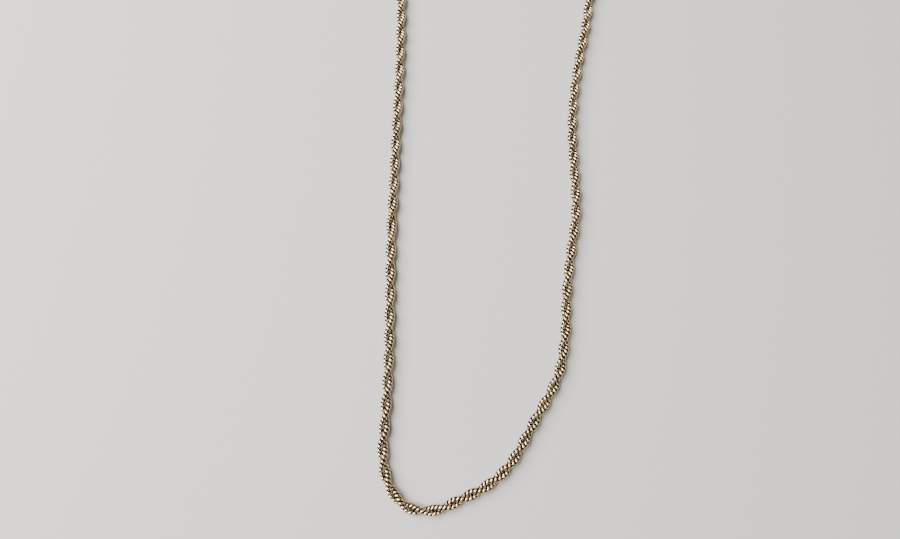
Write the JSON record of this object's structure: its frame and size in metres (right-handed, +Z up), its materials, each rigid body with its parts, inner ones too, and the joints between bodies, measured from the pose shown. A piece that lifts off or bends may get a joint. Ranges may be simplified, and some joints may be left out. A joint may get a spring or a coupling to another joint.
{
  "type": "rope chain necklace",
  "caption": "Twisted rope chain necklace of small round metal links, closed by capped ends and a hook clasp, lying open as a long loop.",
  "frame": {"origin": "middle of the object's bounding box at the surface that it lies on", "axes": "+Z up from the surface, +Y from the rounded bottom of the loop to the clasp, +X to the right as worn side seen from above"},
  "size_m": [0.064, 0.23, 0.004],
  "materials": {
    "rope_metal": "polished",
    "fitting_metal": "polished"
  },
  "bodies": {
    "root": {"rope_left": "rope_metal", "rope_right": "rope_metal", "end_cap_left": "fitting_metal", "end_cap_right": "fitting_metal", "clasp_ring": "fitting_metal", "catch_ring": "fitting_metal", "clasp": "fitting_metal"}
  },
  "joints": []
}
